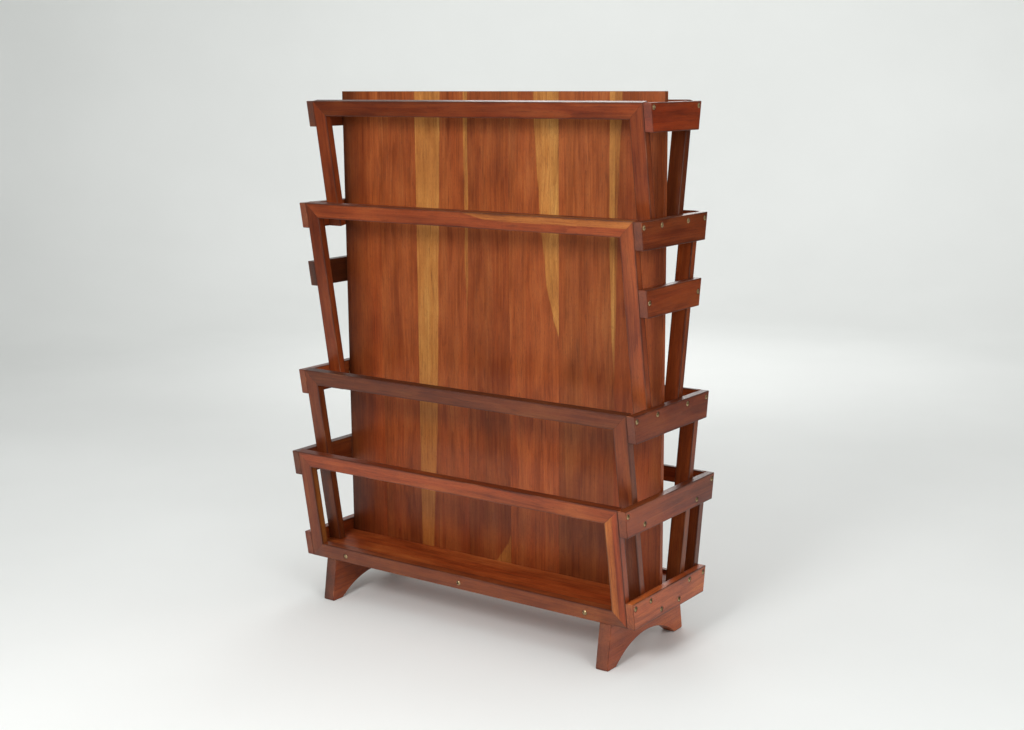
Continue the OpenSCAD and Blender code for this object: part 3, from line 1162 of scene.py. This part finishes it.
def build_studio():
    """A round white sweep: flat floor, curved rise, upright wall, open at the top."""
    profile = [(0.0, 0.0)] + [(FLOOR_RADIUS * i / 6, 0.0) for i in range(1, 7)]
    for i in range(1, 13):
        angle = math.radians(90) * i / 12
        profile.append(
            (
                FLOOR_RADIUS + SWEEP_RADIUS * math.sin(angle),
                SWEEP_RADIUS * (1 - math.cos(angle)),
            )
        )
    profile.append((FLOOR_RADIUS + SWEEP_RADIUS, WALL_TOP))
    bm = bmesh.new()
    axes = (Vector((1, 0, 0)), Vector((0, 1, 0)))
    rings = [
        [bm.verts.new(p) for p in circle(Vector((0, 0, z)), axes, radius, 96)]
        for radius, z in profile[1:]
    ]
    bm.faces.new(rings[0])
    for inner, outer in zip(rings, rings[1:]):
        join_rings(bm, inner, outer)
    bmesh.ops.recalc_face_normals(bm, faces=bm.faces)
    mesh = bpy.data.meshes.new("studio")
    bm.to_mesh(mesh)
    bm.free()
    mesh.polygons.foreach_set("use_smooth", [True] * len(mesh.polygons))
    mesh.materials.append(paper_white())
    obj = bpy.data.objects.new("studio", mesh)
    bpy.context.scene.collection.objects.link(obj)


def add_light(data, place, aim):
    obj = bpy.data.objects.new(data.name, data)
    obj.location = place
    obj.rotation_mode = "QUATERNION"
    obj.rotation_quaternion = (Vector(aim) - Vector(place)).to_track_quat("-Z", "Y")
    obj.visible_camera = False
    bpy.context.scene.collection.objects.link(obj)


def soft_light(name, place, aim, size, power):
    """A round softbox."""
    data = bpy.data.lights.new(name, "AREA")
    data.shape = "DISK"
    data.size = size
    data.energy = power
    add_light(data, place, aim)


def backdrop_light(place, aim, cone_degrees, power):
    """A soft-edged pool of light on the sweep behind the rack."""
    data = bpy.data.lights.new("backdrop", "SPOT")
    data.spot_size = math.radians(cone_degrees)
    data.spot_blend = 1.0
    data.shadow_soft_size = 0.3
    data.energy = power
    add_light(data, place, aim)


def round_the_rack(azimuth, elevation, distance, height):
    """A place seen from the rack's middle, at a height, in degrees and metres."""
    turn, rise = math.radians(azimuth), math.radians(elevation)
    way = Vector(
        (math.sin(turn) * math.cos(rise), -math.cos(turn) * math.cos(rise), math.sin(rise))
    )
    return way * distance + Vector((0, 0, height))


def build_flags():
    """Black cards along both sides, out of the camera's sight, which keep the lacquer's
    reflections deep."""
    material, t, shader = new_material("black_card")
    shader.inputs["Base Color"].default_value = (0.012, 0.012, 0.012, 1)
    shader.inputs["Roughness"].default_value = 1.0
    away = round_the_rack(CAMERA_AZIMUTH + 180, 0, 1, 0)
    right = away.cross(Vector((0, 0, 1)))
    for side, name in ((-1, "flag_left"), (1, "flag_right")):
        corners = [
            right * side * FLAG_OFFSET + away * reach + Vector((0, 0, height))
            for reach, height in (
                (-FLAG_REACH, 0.004),
                (FLAG_REACH, 0.004),
                (FLAG_REACH, FLAG_HEIGHT),
                (-FLAG_REACH, FLAG_HEIGHT),
            )
        ]
        mesh = bpy.data.meshes.new(name)
        mesh.from_pydata(corners, [], [(0, 1, 2, 3)])
        mesh.materials.append(material)
        obj = bpy.data.objects.new(name, mesh)
        obj.visible_camera = False
        obj.visible_diffuse = False
        obj.visible_shadow = False
        bpy.context.scene.collection.objects.link(obj)


def build_lights():
    soft_light("key", round_the_rack(9, 20, 1.75, 0.62), (0, 0, 0.6), 0.65, 19)
    soft_light("fill", round_the_rack(62, 24, 2.3, 0.5), (0, 0, 0.5), 1.2, 13)
    soft_light("back", round_the_rack(205, 30, 2.3, 0.3), (0, 0, 0.3), 1.2, 9)
    soft_light("overhead", (0.0, 0.2, 2.9), (0, 0.1, 0), 2.6, 17)
    backdrop_light((-0.5, 1.2, 3.1), (-1.4, 2.9, 0.9), 95, 150)
    world = bpy.data.worlds.new("studio_air")
    world.use_nodes = True
    background = world.node_tree.nodes["Background"]
    background.inputs["Color"].default_value = (1, 1, 1, 1)
    background.inputs["Strength"].default_value = 0.4
    bpy.context.scene.world = world
    bpy.context.scene.view_settings.view_transform = "Standard"


def build_camera():
    azimuth = math.radians(CAMERA_AZIMUTH)
    elevation = math.radians(CAMERA_ELEVATION)
    back = Vector(
        (
            math.sin(azimuth) * math.cos(elevation),
            -math.cos(azimuth) * math.cos(elevation),
            math.sin(elevation),
        )
    )
    right = Vector((math.cos(azimuth), math.sin(azimuth), 0))
    up = back.cross(right)
    place = (
        back * CAMERA_DISTANCE + right * CAMERA_AIM_RIGHT + Vector((0, 0, CAMERA_AIM_HEIGHT))
    )
    level = Matrix((right, up, back)).transposed()
    data = bpy.data.cameras.new("camera")
    data.sensor_width = SENSOR_WIDTH_MM
    data.lens = CAMERA_LENS_MM
    camera = bpy.data.objects.new("camera", data)
    bpy.context.scene.collection.objects.link(camera)
    roll = Matrix.Rotation(math.radians(CAMERA_ROLL), 3, "Z")
    camera.matrix_world = Matrix.Translation(place) @ (level @ roll).to_4x4()
    bpy.context.scene.camera = camera


build_camera()
build_studio()
build_flags()
build_lights()
build_panel()
build_frames()
build_ends()
build_base()
build_fasteners()

bpy.context.view_layer.update()
